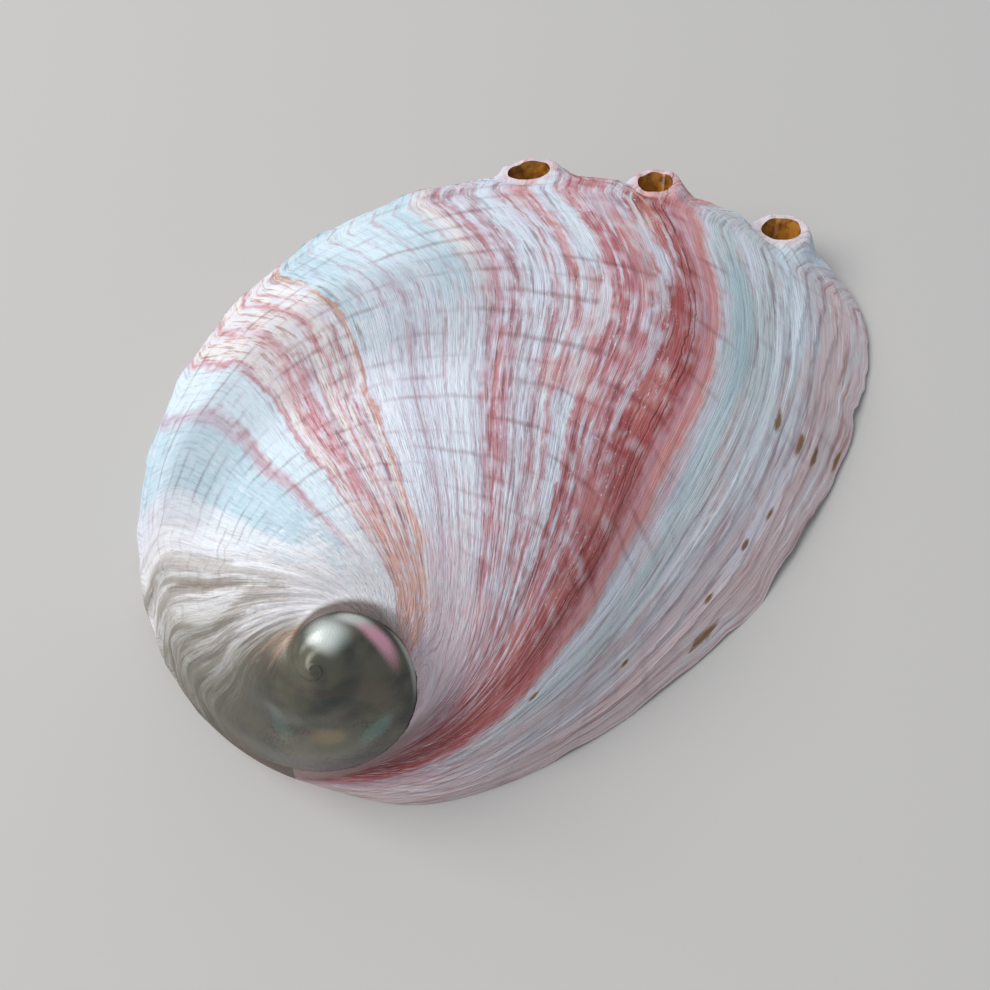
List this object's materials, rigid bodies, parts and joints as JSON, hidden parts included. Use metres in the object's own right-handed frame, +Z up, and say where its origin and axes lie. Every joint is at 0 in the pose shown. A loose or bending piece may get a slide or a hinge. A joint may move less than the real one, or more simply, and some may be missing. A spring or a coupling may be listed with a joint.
{
  "type": "abalone shell",
  "caption": "Ear-shaped domed sea shell with a low worn spire at one end, a row of raised breathing holes along one shoulder, fine growth ridges and an open hollow underneath.",
  "frame": {"origin": "on the ground under the middle of the shell's outline, with the shell lying open side down", "axes": "+X along the long axis to the growing end, +Y across to the side of the row of holes, +Z up"},
  "size_m": [0.088, 0.061, 0.0229],
  "materials": {
    "shell": "semi-gloss, growth bands of rose, ivory, turquoise and lilac, worn nacre on the spire"
  },
  "bodies": {
    "root": {"shell": "shell"}
  },
  "joints": []
}
